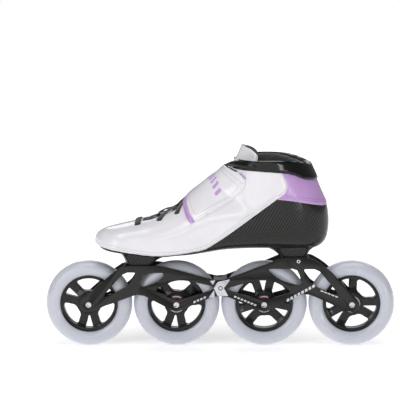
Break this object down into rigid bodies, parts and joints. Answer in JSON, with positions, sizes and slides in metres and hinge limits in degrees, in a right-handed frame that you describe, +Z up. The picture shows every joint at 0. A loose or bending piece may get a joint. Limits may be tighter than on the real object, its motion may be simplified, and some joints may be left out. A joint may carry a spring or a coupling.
{
  "type": "inline speed skate",
  "caption": "Low-cut lace-up inline speed skate boot with carbon shell, ratchet strap and a two-point-mounted aluminium frame with wheels in line.",
  "frame": {"origin": "on the floor, midway between the second and third axles, at the middle of the footprint's width; the wheel plane is at Y = -6.5 mm", "axes": "-X towards the toe, +X towards the heel, +Y towards the outer (buckle) side of a right foot, +Z up"},
  "size_m": [0.4454, 0.1103, 0.259],
  "materials": {
    "urethane": "smooth translucent blue-grey polyurethane",
    "core_nylon": "satin glass-filled nylon",
    "bearing": "steel rings with red seals",
    "steel": "zinc-plated steel",
    "frame_aluminium": "black satin anodised",
    "block": "black anodised",
    "carbon": "glossy clear-coated carbon twill",
    "white_leather": "smooth glossy synthetic leather",
    "lilac_leather": "smooth synthetic leather",
    "black_patent": "glossy patent synthetic leather",
    "lining": "brushed textile over foam",
    "lace_cloth": "flat woven polyester",
    "buckle_nylon": "satin moulded nylon"
  },
  "bodies": {
    "root": {"spacer_1": "steel", "axle_1": "steel", "spacer_2": "steel", "axle_2": "steel", "spacer_3": "steel", "axle_3": "steel", "spacer_4": "steel", "axle_4": "steel", "frame": "frame_aluminium", "carbon_shell": "carbon", "upper": "white_leather", "heel_panel": "lilac_leather", "collar_band": "black_patent", "collar_padding": "lining", "insole": "lining", "front_mount_block": "block", "rear_mount_block": "block", "front_mount_washer": "steel", "front_mount_bolt": "steel", "rear_mount_washer": "steel", "rear_mount_bolt": "steel", "tongue": "white_leather", "instep_strap": "white_leather", "strap_binding": "lilac_leather", "lace": "lace_cloth", "buckle_base": "buckle_nylon", "lever_pin": "steel", "release_pin": "steel", "buckle_rivet_1": "steel", "buckle_rivet_2": "steel"},
    "wheel_1": {"tyre_1": "urethane", "core_1": "core_nylon", "bearing_1_outer_side": "bearing", "bearing_1_inner_side": "bearing"},
    "wheel_2": {"tyre_2": "urethane", "core_2": "core_nylon", "bearing_2_outer_side": "bearing", "bearing_2_inner_side": "bearing"},
    "wheel_3": {"tyre_3": "urethane", "core_3": "core_nylon", "bearing_3_outer_side": "bearing", "bearing_3_inner_side": "bearing"},
    "wheel_4": {"tyre_4": "urethane", "core_4": "core_nylon", "bearing_4_outer_side": "bearing", "bearing_4_inner_side": "bearing"},
    "lever": {"buckle_lever": "buckle_nylon"},
    "release": {"buckle_release": "buckle_nylon"},
    "ladder": {"ladder_strap": "buckle_nylon", "strap_connector": "buckle_nylon", "connector_rivet": "steel"}
  },
  "joints": [
    {"name": "wheel_1_spin", "type": "hinge", "parent": "root", "child": "wheel_1", "pos_m": [-0.1677, -0.0065, 0.055], "axis": [0, 1, 0], "continuous": true},
    {"name": "wheel_2_spin", "type": "hinge", "parent": "root", "child": "wheel_2", "pos_m": [-0.0559, -0.0065, 0.055], "axis": [0, 1, 0], "continuous": true},
    {"name": "wheel_3_spin", "type": "hinge", "parent": "root", "child": "wheel_3", "pos_m": [0.0559, -0.0065, 0.055], "axis": [0, 1, 0], "continuous": true},
    {"name": "wheel_4_spin", "type": "hinge", "parent": "root", "child": "wheel_4", "pos_m": [0.1677, -0.0065, 0.055], "axis": [0, 1, 0], "continuous": true},
    {"name": "lever_lift", "type": "hinge", "parent": "root", "child": "lever", "pos_m": [0.04844, 0.05218, 0.21596], "axis": [-0.3225, -0.0588, 0.9447], "range_deg": [0, 60]},
    {"name": "release_press", "type": "hinge", "parent": "root", "child": "release", "pos_m": [0.03424, 0.05224, 0.21112], "axis": [0.3225, 0.0588, -0.9447], "range_deg": [0, 25]},
    {"name": "ladder_slide", "type": "slide", "parent": "root", "child": "ladder", "axis": [0.9464, -0.0041, 0.3229], "range_m": [-0.008, 0.005]}
  ]
}
